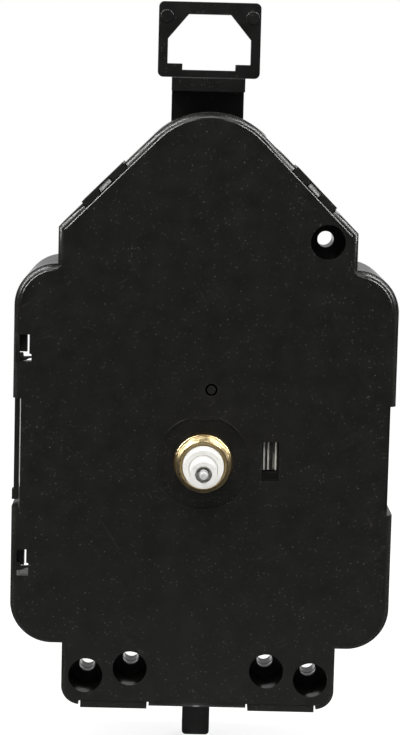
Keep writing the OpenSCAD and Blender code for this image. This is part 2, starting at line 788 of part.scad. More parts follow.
// Fluted knob pressed on the stem
module setting_knob() {
    color(black) difference() {
        slab(knob_y, knob_y + knob_t) translate(stem_at) difference() {
            circle(knob_r);
            for (i = [0:knob_flutes - 1])
                translate(polar(knob_r + 0.15, 360 * i / knob_flutes)) circle(0.45, $fn = 16);
        }
        rod(stem_at, knob_y - cut, knob_y + knob_t - 0.8, stem_r + 0.01);
        block([stem_at[0] - 3, stem_at[0] + 3], [knob_y + knob_t - 0.6, knob_y + knob_t + cut],
              [stem_at[1] - 0.5, stem_at[1] + 0.5]);
    }
}

// Plate between the hand train and the motor, with the fixed centre tube and the latch
module middle_plate() {
    left = pillar_left - 2;
    right = pillar_right + 2;
    color(white) difference() {
        union() {
            slab(plate_y, plate_y + plate_t)
                polygon([[left, train_top - 2.2], [left + 2, train_top], [right - 1.4, train_top],
                         [right, train_top - 2], [right, 2 - train_drop], [right - 2, -train_drop],
                         [left + 1.5, -train_drop], [left, 2.5 - train_drop]]);
            rod([0, 0], -tube_reach, plate_y + plate_t, tube_r);
            for (i = [0:3]) block([latch_x[0] + 0.2 + 0.57 * i, latch_x[0] + 0.47 + 0.57 * i],
                                  [1.4, plate_y + 0.1], [-1.05, latch_z[1] - 0.15]);
            block([latch_x[0] + 0.2, latch_x[0] + 2.18], [2.6, plate_y + 0.1],
                  [-1.05, latch_z[1] - 0.15]);
        }
        rod([0, 0], -tube_reach - cut, plate_y + plate_t + cut, second_run_r + run);
        for (p = pillars) rod(p, plate_y - cut, plate_y + plate_t + cut, 0.72);
        rod(third_at, plate_y - cut, plate_y + plate_t + cut, 1.35);
        rod(stem_at, plate_y - cut, plate_y + plate_t + cut, stem_pitch_r + 0.45);
        rod(transfer_at, plate_y - cut, plate_y + plate_t - 0.2, pivot_end_r + run);
        for (a = [inter_at, rotor_at])
            rod(a, plate_y + 0.2, plate_y + plate_t + cut, pivot_end_r + run);
        for (l = legs) rod(l, plate_y + 0.3, plate_y + plate_t + cut, 0.62);
    }
}

// Cover that carries the rear pivots, on four legs
module train_cover() {
    color(white) difference() {
        union() {
            slab(cover_y, cover_y + cover_t)
                polygon([legs[0] + [-1.8, 1.6], legs[2] + [1.7, 1.3], rotor_at + [3.5, 5.5],
                         rotor_at + [3.5, -3.1], legs[3] + [1.9, -1.5], legs[1] + [-1.7, -1.8],
                         legs[1] + [-1.7, 1.8]]);
            for (l = legs) {
                rod(l, plate_y + plate_t, cover_y + 0.1, 1.1);
                rod(l, plate_y + 0.4, cover_y, 0.6);
            }
        }
        rod([0, 0], cover_y - cut, cover_y + pivot_length + 0.1, arbor_r + run);
        for (a = [third_at, inter_at, rotor_at])
            rod(a, cover_y - cut, cover_y + pivot_length + 0.1, pivot_end_r + run);
    }
}

// Stepping motor's iron circuit: round the rotor and out to the coil's core
module stator() {
    hole_r = magnet_r + air_gap;
    out = coil_x + 1.6;
    color(steel) slab(stator_y, stator_y + stator_t) difference() {
        union() {
            translate(rotor_at) circle(hole_r + 1.4);
            translate([rotor_at[0] - 1.4, rotor_at[1]]) square([3, train_top - rotor_at[1]]);
            translate([rotor_at[0] - 1.4, train_top - stator_bar])
                square([out - rotor_at[0] + 1.4, stator_bar]);
            translate([rotor_at[0] + 0.6, -stator_drop])
                square([2.6, rotor_at[1] + stator_drop - hole_r * 0.8]);
            translate([rotor_at[0] + 0.6, -stator_drop])
                square([out - rotor_at[0] - 0.6, stator_bar]);
        }
        translate(rotor_at) circle(hole_r);
    }
}

module coil_core() {
    color(steel) block([coil_x - 0.8, coil_x + 0.8],
                       [stator_y + stator_t, stator_y + 2 * stator_t], [-stator_drop, train_top]);
}

module coil_bobbin() {
    color(white) difference() {
        union() {
            translate([coil_x, coil_y, coil_low - 0.7]) cylinder(h = coil_length + 1.4, r = 1.5);
            for (z = [coil_low - 0.7, coil_low + coil_length])
                block([coil_x - coil_half, coil_x + coil_half],
                      [coil_y - coil_half, coil_y + coil_half], [z, z + 0.7]);
        }
        block([coil_x - 0.85, coil_x + 0.85],
              [coil_y - stator_t / 2 - 0.05, coil_y + stator_t / 2 + 0.05],
              [coil_low - cut, coil_low + coil_length + 2]);
    }
}

module motor_coil() {
    color(copper) translate([coil_x, coil_y, coil_low + 0.02]) difference() {
        cylinder(h = coil_length - 0.04, r = coil_r);
        translate([0, 0, -cut]) cylinder(h = coil_length + 2 * cut, r = 1.52);
    }
}

// Board that carries the clock chip and feeds both coils
module circuit_board() {
    color("#2f5d3a") difference() {
        block([-board_w / 2, board_w / 2], [board_y, board_y + board_t],
              [board_low, board_top]);
        for (p = pegs) rod(p, board_y - cut, board_y + board_t + cut, 0.62);
        rod([0, -drive_drop], board_y - cut, board_y + board_t + cut, drive_coil_r + 0.6);
    }
}

// Resin drop over the clock chip
module chip_cover() {
    drop = 1.3;
    r = 4;
    ball = (r * r + drop * drop) / (2 * drop);
    color("#161616") translate([-7, board_y + board_t + 0.01, board_mid])
        rotate([-90, 0, 0]) rotate_extrude() intersection() {
            translate([0, drop - ball]) circle(ball, $fn = 96);
            square([r, drop]);
        }
}

module quartz_can() {
    color(steel) translate([5, board_y + board_t + 1.05, board_mid]) rotate([0, 90, 0])
        cylinder(h = 6.2, r = 1);
}

// Contact strip's flat pattern seen from the front: end plate, step and tail to the board
module strip(end_x, tail_x, foot_x) {
    top = cell_z + 4;
    low = cell_z - bay_half + strip_t / 2 + 0.03;
    board = board_top - 1;
    slab(strip_y, strip_y + strip_w) for (s = [[[end_x, top], [end_x, low]],
                                              [[end_x, low], [tail_x, low]],
                                              [[tail_x, low], [tail_x, board]],
                                              [[tail_x, board], [foot_x, board]]])
        bar(s[0], s[1]);
}

// Square-ended bar along X or Z, as thick as the contact strip
module bar(a, b) {
    h = strip_t / 2;
    translate([min(a[0], b[0]) - h, min(a[1], b[1]) - h])
        square([abs(a[0] - b[0]) + strip_t, abs(a[1] - b[1]) + strip_t]);
}

module battery_plus() {
    x = bay_right - strip_t / 2 - 0.02;
    color(steel) {
        strip(x, bay_right - 2, board_w / 2 - 1);
        block([x - strip_t / 2, x + strip_t / 2], [strip_y, body_depth - 3.5],
              [cell_z - 4.5, cell_z + 4.5]);
        translate([x - strip_t / 2 - 0.35, bay_y + bay_floor_t + bay_half, cell_z])
            rotate([0, 90, 0]) cylinder(h = 0.36, r1 = 1.6, r2 = 2.2);
    }
}

// Negative contact with a bowed leaf that presses on the cell
module battery_spring() {
    x = bay_left + strip_t / 2 + 0.02;
    bow = 20;                              // radius of the leaf's bow
    leaf = 5;
    color(steel) {
        strip(x, bay_left + 1.3, -board_w / 2 + 1);
        block([x - strip_t / 2, x + strip_t / 2], [strip_y, body_depth - 3.5],
              [cell_z - 4.5, cell_z + 4.5]);
        translate([x - bow + strip_t + 0.5, bay_y + bay_floor_t + bay_half - 2, cell_z])
            rotate([-90, 0, 0]) rotate([0, 0, -asin(leaf / bow)])
                rotate_extrude(angle = 2 * asin(leaf / bow), $fn = 96)
                    translate([bow - strip_t, 0]) square([strip_t, 4]);
    }
}

module drive_bobbin() {
    at = [0, -drive_drop];
    end = recess_floor - 0.4;
    color(white) difference() {
        union() {
            rod(at, board_y + 0.02, board_y + 0.8, drive_coil_r + 0.3);
            rod(at, end - 0.8, end, drive_coil_r + 0.3);
            rod(at, board_y + 0.1, end - 0.1, 2.1);
        }
        rod(at, board_y - cut, end + cut, 1.45);
    }
}

module drive_coil() {
    at = [0, -drive_drop];
    color(copper) difference() {
        rod(at, board_y + 0.82, recess_floor - 1.22, drive_coil_r);
        rod(at, board_y, recess_floor, 2.12);
    }
}

module pendulum_pin() {
    at = [0, pivot_z];
    color(steel) {
        rod(at, recess_floor - 0.2, body_depth - 0.8, pivot_r);
        rod(at, body_depth - 1.4, body_depth - 0.6, pivot_r + 0.8);
    }
}

// Swinging arm: hub, shank, magnet cup and the hook that carries the pendulum rod
module pendulum_arm() {
    at = [0, pivot_z];
    cup = [0, -drive_drop];
    half = hook_w / 2;
    lip = 1.2;
    gap = 1.4;
    hook_y = arm_y + arm_t + gap;
    color(black) difference() {
        union() {
            rod(at, thin_depth + 0.5, body_depth - 1.6, hub_r);
            slab(arm_y, arm_y + arm_t) {
                translate([-1.7, -drive_drop]) square([3.4, drive_drop + pivot_z]);
                translate([0, -drive_drop]) circle(cup_r);
                rounded([-half, half], [-hook_drop, -drive_drop], 0.6);
            }
            slab(arm_y + arm_t - 0.01, hook_y + 0.01)
                rounded([-half, half], [-hook_drop, -hook_drop + 1.5], 0.6);
            slab(hook_y, hook_y + lip) rounded([-half, half], [-hook_drop, -hook_drop + 5], 0.6);
            block([-0.6, 0.6], [arm_y + arm_t - 0.01, arm_y + arm_t + 0.9],
                  [-drive_drop + cup_r - 1, pivot_z - hub_r + 0.3]);
        }
        rod(at, 0, body_depth, pivot_r + run);
        rod(cup, 0, arm_y + 1.3, swing_magnet_r + 0.01);
    }
}

module pendulum_magnet() {
    color("#8f9296") rod([0, -drive_drop], arm_y - 0.1, arm_y + 1.3, swing_magnet_r);
}

front_case();
rear_case();
hanger();
dial_bush();
hour_wheel();
minute_wheel();
transfer_wheel();
third_wheel();
second_wheel();
second_shaft();
intermediate_wheel();
rotor_pinion();
rotor_magnet();
setting_stem();
setting_knob();
middle_plate();
train_cover();
stator();
coil_core();
coil_bobbin();
motor_coil();
circuit_board();
chip_cover();
quartz_can();
battery_plus();
battery_spring();
drive_bobbin();
drive_coil();
pendulum_pin();
pendulum_arm();
pendulum_magnet();
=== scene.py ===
import math

import bmesh
import bpy
from mathutils import Matrix, Vector


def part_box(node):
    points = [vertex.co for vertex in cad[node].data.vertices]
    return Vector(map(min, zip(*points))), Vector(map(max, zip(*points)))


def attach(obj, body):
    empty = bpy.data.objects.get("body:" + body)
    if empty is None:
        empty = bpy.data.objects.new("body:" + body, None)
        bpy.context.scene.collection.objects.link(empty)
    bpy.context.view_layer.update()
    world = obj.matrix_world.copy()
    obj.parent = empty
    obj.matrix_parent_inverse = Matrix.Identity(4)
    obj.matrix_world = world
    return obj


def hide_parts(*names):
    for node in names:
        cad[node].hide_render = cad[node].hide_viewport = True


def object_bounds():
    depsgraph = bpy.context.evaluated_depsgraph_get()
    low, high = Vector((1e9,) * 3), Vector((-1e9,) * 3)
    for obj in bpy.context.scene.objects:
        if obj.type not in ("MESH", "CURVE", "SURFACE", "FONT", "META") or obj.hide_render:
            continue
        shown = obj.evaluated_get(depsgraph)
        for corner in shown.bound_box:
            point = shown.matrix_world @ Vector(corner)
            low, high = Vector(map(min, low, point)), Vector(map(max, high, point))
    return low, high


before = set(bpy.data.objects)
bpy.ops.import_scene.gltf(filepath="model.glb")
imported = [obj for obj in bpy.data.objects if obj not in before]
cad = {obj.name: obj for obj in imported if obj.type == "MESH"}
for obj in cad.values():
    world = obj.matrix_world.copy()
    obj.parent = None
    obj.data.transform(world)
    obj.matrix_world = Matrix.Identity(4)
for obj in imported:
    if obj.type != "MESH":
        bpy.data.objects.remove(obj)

cad_box = [list(corner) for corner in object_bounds()]

# Camera. It stands in front of the dial side, a little above the hand shaft, and looks
# slightly down. The case hangs a degree and a half out of plumb in the picture.
MM = 0.001
azimuth, elevation, roll = (math.radians(angle) for angle in (0.5, 7.1, 1.42))
look = Vector((math.sin(azimuth) * math.cos(elevation),
               math.cos(azimuth) * math.cos(elevation), -math.sin(elevation)))
level = look.cross(Vector((0, 0, 1))).normalized()
upright = level.cross(look)
right = level * math.cos(roll) + upright * math.sin(roll)
up = upright * math.cos(roll) - level * math.sin(roll)
eye = Vector((-3.69, -332.42, 55.48)) * MM


def placed(across, over, back, spot):
    """The matrix of an object at a spot, from its own three axes."""
    return Matrix((
        (across.x, over.x, back.x, spot.x),
        (across.y, over.y, back.y, spot.y),
        (across.z, over.z, back.z, spot.z),
        (0, 0, 0, 1)))


camera = bpy.data.objects.new("camera", bpy.data.cameras.new("camera"))
bpy.context.collection.objects.link(camera)
camera.data.lens = 112.65
camera.data.sensor_width = 36
camera.data.clip_start, camera.data.clip_end = 0.02, 20
camera.matrix_world = placed(right, up, -look, eye)
bpy.context.scene.camera = camera


# Studio. A white sheet lies below the clock movement and the room behind it is white; black
# flags stand at the sides and in front, so that the black plastic stays black. Two strip
# lights lie along the roof slopes, one soft box hangs over the camera and one behind.
def add(tree, kind, sockets=None, **settings):
    """Adds a shader node, with its settings, and its sockets set to values or linked."""
    made = tree.nodes.new("ShaderNode" + kind)
    for key, value in settings.items():
        setattr(made, key, value)
    for key, value in (sockets or {}).items():
        if isinstance(value, bpy.types.NodeSocket):
            tree.links.new(value, made.inputs[key])
        else:
            made.inputs[key].default_value = value
    return made


def calculate(tree, operation, *values, clamp=False):
    """The result of a math node."""
    sockets = dict(enumerate(values))
    return add(tree, "Math", sockets, operation=operation, use_clamp=clamp).outputs[0]


def times(tree, first, second, clamp=False):
    """The product of two values."""
    return calculate(tree, "MULTIPLY", first, second, clamp=clamp)


def ramp(tree, value, low, high, to_low=0.0, to_high=1.0):
    """A value mapped from one range to another and kept within it."""
    return add(tree, "MapRange", {"Value": value, "From Min": low, "From Max": high,
                                  "To Min": to_low, "To Max": to_high}).outputs[0]


def ray_kinds(tree):
    """Whether a ray comes from the camera or through glass, and whether it was mirrored."""
    path = add(tree, "LightPath").outputs
    seen = calculate(tree, "ADD", path["Is Camera Ray"], path["Is Transmission Ray"], clamp=True)
    return seen, path["Is Glossy Ray"]


flags_end, room_starts = 0.72, 0.93
flag_glow, room_glow, matt_glow = 0.05, 0.35, 0.26
world = bpy.data.worlds.new("studio")
bpy.context.scene.world = world
world.use_nodes = True
sky = world.node_tree
sky.nodes.clear()
seen, mirrored = ray_kinds(sky)
direction = add(sky, "TexCoord").outputs["Generated"]
backwards = add(sky, "SeparateXYZ", {0: direction}).outputs["Y"]
behind = ramp(sky, backwards, flags_end, room_starts, flag_glow, room_glow)
others = calculate(sky, "SUBTRACT", 1.0, calculate(sky, "ADD", seen, mirrored, clamp=True))
strength = calculate(sky, "ADD", seen, times(sky, mirrored, behind))
strength = calculate(sky, "ADD", strength, times(sky, others, matt_glow))
backdrop = add(sky, "Background", {"Color": (1, 1, 1, 1), "Strength": strength})
add(sky, "OutputWorld", {0: backdrop.outputs[0]})

# Floor, in metres. To the camera it fades from shaded paper below the movement to pure
# white, and in mirror images it darkens to the sides, where the flags stand.
floor_half, floor_back, floor_gap = 1.5, 1.40, 0.0005
shade_ends, least_pure = (0.08, 0.40), 0.80
flags_front, flag_sides, floor_glows = 0.03, (0.30, 0.60), (0.80, 0.14)
floor_mesh = bpy.data.meshes.new("floor")
shape = bmesh.new()
bmesh.ops.create_grid(shape, x_segments=2, y_segments=2, size=floor_half)
shape.to_mesh(floor_mesh)
shape.free()
floor = bpy.data.objects.new("floor", floor_mesh)
bpy.context.collection.objects.link(floor)
floor.location = (0, floor_back, cad_box[0][2] - floor_gap)
paper = bpy.data.materials.new("floor_paper")
paper.use_nodes = True
tree = paper.node_tree
tree.nodes.clear()
seen, mirrored = ray_kinds(tree)
where = add(tree, "NewGeometry").outputs["Position"]
apart = add(tree, "VectorMath", {0: where}, operation="LENGTH").outputs["Value"]
pure = ramp(tree, apart, *shade_ends, least_pure, 1.0)
place = add(tree, "SeparateXYZ", {0: where}).outputs
beyond = calculate(tree, "SUBTRACT", place["Y"], flags_front)
sideways = calculate(tree, "DIVIDE", calculate(tree, "ABSOLUTE", place["X"]),
                     calculate(tree, "MAXIMUM", beyond, 0.001))
flagged = ramp(tree, sideways, *flag_sides, *floor_glows)
share = calculate(tree, "ADD", times(tree, seen, pure), mirrored, clamp=True)
bright = calculate(tree, "ADD", seen, times(tree, mirrored, flagged))
matt = add(tree, "BsdfDiffuse", {"Color": (0.93, 0.93, 0.93, 1)})
glow = add(tree, "Emission", {"Color": (1, 1, 1, 1), "Strength": bright})
mixed = add(tree, "MixShader", {0: share, 1: matt.outputs[0], 2: glow.outputs[0]})
add(tree, "OutputMaterial", {0: mixed.outputs[0]})
floor_mesh.materials.append(paper)

# Lights: where each hangs in metres, its width and height in metres, and its power in watts.
for name, spot, width, height, power in (
        ("strip_light_left", (-0.62, -0.06, 0.60), 0.90, 0.06, 8.5),
        ("strip_light_right", (0.62, -0.06, 0.60), 0.90, 0.06, 8.5),
        ("soft_box_front", (-0.10, -0.75, 0.80), 0.60, 0.60, 7.0),
        ("soft_box_back", (0.45, 0.85, 0.75), 0.60, 0.60, 9.0)):
    lamp = bpy.data.objects.new(name, bpy.data.lights.new(name, "AREA"))
    lamp.data.shape = "RECTANGLE"
    lamp.data.size, lamp.data.size_y = width, height
    lamp.data.energy = power
    toward = -Vector(spot).normalized()
    long_way = Vector((0, 1, 0)).cross(toward) if name.startswith("strip") else Vector((1, 0, 0))
    long_way = (long_way - toward * long_way.dot(toward)).normalized()
    short_way = (-toward).cross(long_way)
    lamp.matrix_world = placed(long_way, short_way, -toward, Vector(spot))
    bpy.context.collection.objects.link(lamp)
bpy.context.scene.view_settings.view_transform = "Standard"

# Front cover of the case. Black polystyrene, moulded in one piece and snapped on the rear
# case. Its face is finely etched and dusty, its walls are smooth and its edges rubbed paler,
# and ejector pins, an insert and the gate of the mould have left outlines on the face.
smooth_below, flat_below, bevel_above, weld_gap = 34, 0.6, 43, 0.002
smooth_tree = bpy.data.node_groups.new("smooth_by_angle", "GeometryNodeTree")
for way in ("INPUT", "OUTPUT"):
    smooth_tree.interface.new_socket("Geometry", in_out=way, socket_type="NodeSocketGeometry")
arriving = smooth_tree.nodes.new("NodeGroupInput")
leaving = smooth_tree.nodes.new("NodeGroupOutput")
fold = smooth_tree.nodes.new("GeometryNodeInputMeshEdgeAngle")
flat_enough = smooth_tree.nodes.new("FunctionNodeCompare")
flat_enough.data_type, flat_enough.operation = "FLOAT", "LESS_THAN"
flat_enough.inputs["B"].default_value = math.radians(smooth_below)
faces = smooth_tree.nodes.new("GeometryNodeSetShadeSmooth")
edges = smooth_tree.nodes.new("GeometryNodeSetShadeSmooth")
faces.domain, edges.domain = "FACE", "EDGE"
faces.inputs["Shade Smooth"].default_value = True
for start, end in ((arriving.outputs[0], faces.inputs[0]), (faces.outputs[0], edges.inputs[0]),
                   (fold.outputs["Unsigned Angle"], flat_enough.inputs["A"]),
                   (flat_enough.outputs["Result"], edges.inputs["Shade Smooth"]),
                   (edges.outputs[0], leaving.inputs[0])):
    smooth_tree.links.new(start, end)


def soften(node, width=0.12):
    """Rounds a CAD node's sharp edges by modifiers, and smooths the shading of its curves."""
    piece = cad[node]
    weld = piece.modifiers.new("weld", "WELD")
    weld.merge_threshold = weld_gap * MM
    merge = piece.modifiers.new("flats", "DECIMATE")
    merge.decimate_type = "DISSOLVE"
    merge.angle_limit = math.radians(flat_below)
    bevel = piece.modifiers.new("edges", "BEVEL")
    bevel.width = width * MM
    bevel.segments = 3
    bevel.limit_method = "ANGLE"
    bevel.angle_limit = math.radians(bevel_above)
    bevel.use_clamp_overlap = True
    piece.modifiers.new("smooth", "NODES").node_group = smooth_tree
    shade = piece.modifiers.new("shading", "WEIGHTED_NORMAL")
    shade.keep_sharp = True
    return piece


def finish(piece, material):
    """Gives a piece its material, in each slot linked to the object."""
    if not piece.material_slots:
        piece.data.materials.append(material)
    for index in range(len(piece.material_slots)):
        piece.material_slots[index].link = "OBJECT"
        piece.material_slots[index].material = material
    return piece


def group(name, inputs, outputs):
    """A new shader node group: its tree, its input sockets by name and its output node."""
    tree = bpy.data.node_groups.new(name, "ShaderNodeTree")
    for socket, kind, value in inputs:
        made = tree.interface.new_socket(socket, in_out="INPUT", socket_type="NodeSocket" + kind)
        if value is not None:
            made.default_value = value
    for socket, kind in outputs:
        tree.interface.new_socket(socket, in_out="OUTPUT", socket_type="NodeSocket" + kind)
    return tree, tree.nodes.new("NodeGroupInput").outputs, tree.nodes.new("NodeGroupOutput")


def spaced(values):
    """Values by the names of sockets, which have spaces where Python's have underscores."""
    return {key.replace("_", " "): value for key, value in values.items()}


def place_group(tree, effect, **sockets):
    """The outputs of a node group placed in a material, its inputs set or linked."""
    return add(tree, "Group", spaced(sockets), node_tree=effect).outputs


def noise(tree, vector, scale, detail, roughness=0.5):
    """A cloudy value round one half; its features grow as the scale falls."""
    return add(tree, "TexNoise", {"Vector": vector, "Scale": scale, "Detail": detail,
                                  "Roughness": roughness}).outputs[0]


def stroke(tree, distance, width):
    """A line's mask: 1 where the distance from its middle is 0, and 0 beyond the width."""
    return calculate(tree, "SUBTRACT", 1.0, calculate(tree, "DIVIDE", distance, width), clamp=True)


# Etched skin of the mould, in millimetres: fine pits on slow waves.
mould_skin, given, out = group(
    "mould_skin", [("Vector", "Vector", None), ("Grain", "Float", 0.25), ("Waves", "Float", 0.3)],
    [("Height", "Float"), ("Tone", "Float")])
scale = calculate(mould_skin, "DIVIDE", 1.0, given["Grain"])
pits = noise(mould_skin, given["Vector"], scale, detail=3.0, roughness=0.65)
waves = noise(mould_skin, given["Vector"], scale=0.12, detail=2.0)
waves = times(mould_skin, waves, given["Waves"])
mould_skin.links.new(calculate(mould_skin, "ADD", pits, waves), out.inputs["Height"])
tone = noise(mould_skin, given["Vector"], scale=0.35, detail=4.0)
mould_skin.links.new(tone, out.inputs["Tone"])

# Dust: one small speck in some of the cells of a grid.
dust, given, out = group(
    "dust", [("Vector", "Vector", None), ("Cell", "Float", 1.0), ("Amount", "Float", 0.3),
             ("Size", "Float", 0.1)],
    [("Mask", "Float")])
least_speck, speck_edge = 0.35, 2.0
scale = calculate(dust, "DIVIDE", 1.0, given["Cell"])
cells = add(dust, "TexVoronoi", {"Vector": given["Vector"], "Scale": scale, "Randomness": 1.0})
chance = add(dust, "SeparateColor", {0: cells.outputs["Color"]}).outputs
kept = calculate(dust, "LESS_THAN", chance[0], given["Amount"])
radius = times(dust, given["Size"], ramp(dust, chance[1], 0.0, 1.0, least_speck, 1.0))
radius = calculate(dust, "DIVIDE", radius, given["Cell"])
inside = calculate(dust, "SUBTRACT", radius, cells.outputs["Distance"])
near = times(dust, calculate(dust, "DIVIDE", inside, radius), speck_edge, clamp=True)
dust.links.new(times(dust, near, kept), out.inputs["Mask"])

# Edge wear: where a small rounding would turn the surface, broken up by noise.
edge_wear, given, out = group(
    "edge_wear", [("Vector", "Vector", None), ("Radius", "Float", 0.2), ("Amount", "Float", 1.0)],
    [("Mask", "Float")])
turn_gain, rub_span = 6.0, (0.35, 0.65)
metres = times(edge_wear, given["Radius"], MM)
rounded = add(edge_wear, "Bevel", {"Radius": metres}, samples=6).outputs[0]
flat = add(edge_wear, "NewGeometry").outputs["Normal"]
agree = add(edge_wear, "VectorMath", {0: rounded, 1: flat}, operation="DOT_PRODUCT")
turned = calculate(edge_wear, "SUBTRACT", 1.0, agree.outputs["Value"])
turned = times(edge_wear, turned, turn_gain, clamp=True)
rub = noise(edge_wear, given["Vector"], scale=1.3, detail=4.0)
rub = times(edge_wear, ramp(edge_wear, rub, *rub_span), given["Amount"])
edge_wear.links.new(times(edge_wear, turned, rub), out.inputs["Mask"])

# Scratches: thin lines of a stretched noise, turned by an angle and kept in a few patches.
scratches, given, out = group(
    "scratches", [("Vector", "Vector", None), ("Turn", "Float", 0.5), ("Width", "Float", 0.006)],
    [("Mask", "Float")])
stretch, patch_span = (0.05, 0.4, 1.1), (0.52, 0.66)
turned = add(scratches, "VectorRotate", {"Vector": given["Vector"], "Axis": (0, 1, 0),
                                         "Angle": given["Turn"]}).outputs[0]
drawn = add(scratches, "VectorMath", {0: turned, 1: stretch}, operation="MULTIPLY").outputs[0]
wander = noise(scratches, drawn, scale=1.0, detail=1.0)
middle = calculate(scratches, "SUBTRACT", wander, 0.5)
line = stroke(scratches, calculate(scratches, "ABSOLUTE", middle), given["Width"])
patches = noise(scratches, given["Vector"], scale=0.14, detail=2.0)
patches = ramp(scratches, patches, *patch_span)
scratches.links.new(times(scratches, line, patches), out.inputs["Mask"])

# Outline left by a part of the mould, seen along Y: a ring, or a rounded rectangle.
mould_mark, given, out = group(
    "mould_mark", [("Vector", "Vector", None), ("Centre", "Vector", None), ("Radius", "Float", 1.5),
                   ("Half Width", "Float", 0.0), ("Half Height", "Float", 0.0),
                   ("Line", "Float", 0.09)],
    [("Mask", "Float")])
away = add(mould_mark, "VectorMath", {0: given["Vector"], 1: given["Centre"]},
           operation="SUBTRACT").outputs[0]
away = add(mould_mark, "VectorMath", {0: away}, operation="ABSOLUTE").outputs[0]
away = add(mould_mark, "SeparateXYZ", {0: away}).outputs
squares = []
for axis, half in (("X", "Half Width"), ("Z", "Half Height")):
    past = calculate(mould_mark, "SUBTRACT", away[axis], given[half])
    past = calculate(mould_mark, "MAXIMUM", past, 0.0)
    squares.append(times(mould_mark, past, past))
reach = calculate(mould_mark, "SQRT", calculate(mould_mark, "ADD", *squares))
gap = calculate(mould_mark, "ABSOLUTE", calculate(mould_mark, "SUBTRACT", reach, given["Radius"]))
mould_mark.links.new(stroke(mould_mark, gap, given["Line"]), out.inputs["Mask"])


def millimetres(tree):
    """The piece's own coordinates in millimetres."""
    own = add(tree, "TexCoord").outputs["Object"]
    return add(tree, "VectorMath", {0: own, "Scale": 1 / MM}, operation="SCALE").outputs[0]


def new_material(name):
    """An empty material and its node tree."""
    made = bpy.data.materials.new(name)
    made.use_nodes = True
    made.node_tree.nodes.clear()
    return made, made.node_tree


def blend_colours(tree, share, first, second):
    """Two colours mixed by a share; each is a socket or a triple."""
    first, second = (colour if isinstance(colour, bpy.types.NodeSocket) else (*colour, 1)
                     for colour in (first, second))
    return add(tree, "Mix", {0: share, 6: first, 7: second}, data_type="RGBA").outputs[2]


def tint(tree, colour, other, mask, most):
    """A colour turned towards another under a mask, by a share at most."""
    return blend_colours(tree, times(tree, mask, most), colour, other)


def surface(tree, colour, rough, height, strength, deep, **fixed):
    """The Principled shader of a material; its bumps are as deep as given, in millimetres."""
    bump = add(tree, "Bump", {"Height": height, "Strength": strength, "Distance": deep * MM})
    shader = add(tree, "BsdfPrincipled", {"Base Color": colour, "Roughness": rough,
                                          "Normal": bump.outputs[0], **spaced(fixed)})
    add(tree, "OutputMaterial", {0: shader.outputs[0]})


# A noise mostly stays within this span. The etching shows where a face looks along Y, and the
# walls keep a share of its texture and are glossier.
noise_span = (0.3, 0.7)
face_on, wall_texture, wall_gloss = (0.35, 0.80), 0.25, 0.23
# Shares of the tone in red, green and blue, where the plastic is darker and where paler.
dark_share, pale_share = (1, 0.98, 0.88), (1.9, 1.85, 1.65)
rubbed_grey, scratch_grey = (0.045, 0.044, 0.041), (0.05, 0.049, 0.045)
dust_grey = (0.20, 0.19, 0.17)
dust_matt, scratch_deep, ridge_high = 0.3, 0.5, 2.5
# Painted shade in the grooves: its near-black colour, the width of its line, its gain, and the
# groove's bump depth.
groove_painted_shade, groove_line, groove_edge, groove_deep = (0.0003, 0.0003, 0.0003), 0.17, 3.0, 6.0
# Fine, middling and coarse dust: its cell, its share of the specks and its speck's radius.
dust_kinds = ((0.40, 1.3, 0.12), (0.95, 1.0, 0.11), (5.0, 0.6, 0.16))
# The fine dust lies thicker where the skin is paler: the span of the tone, and its share.
dusty_tone, fine_share = (0.38, 0.62), (0.20, 0.62)


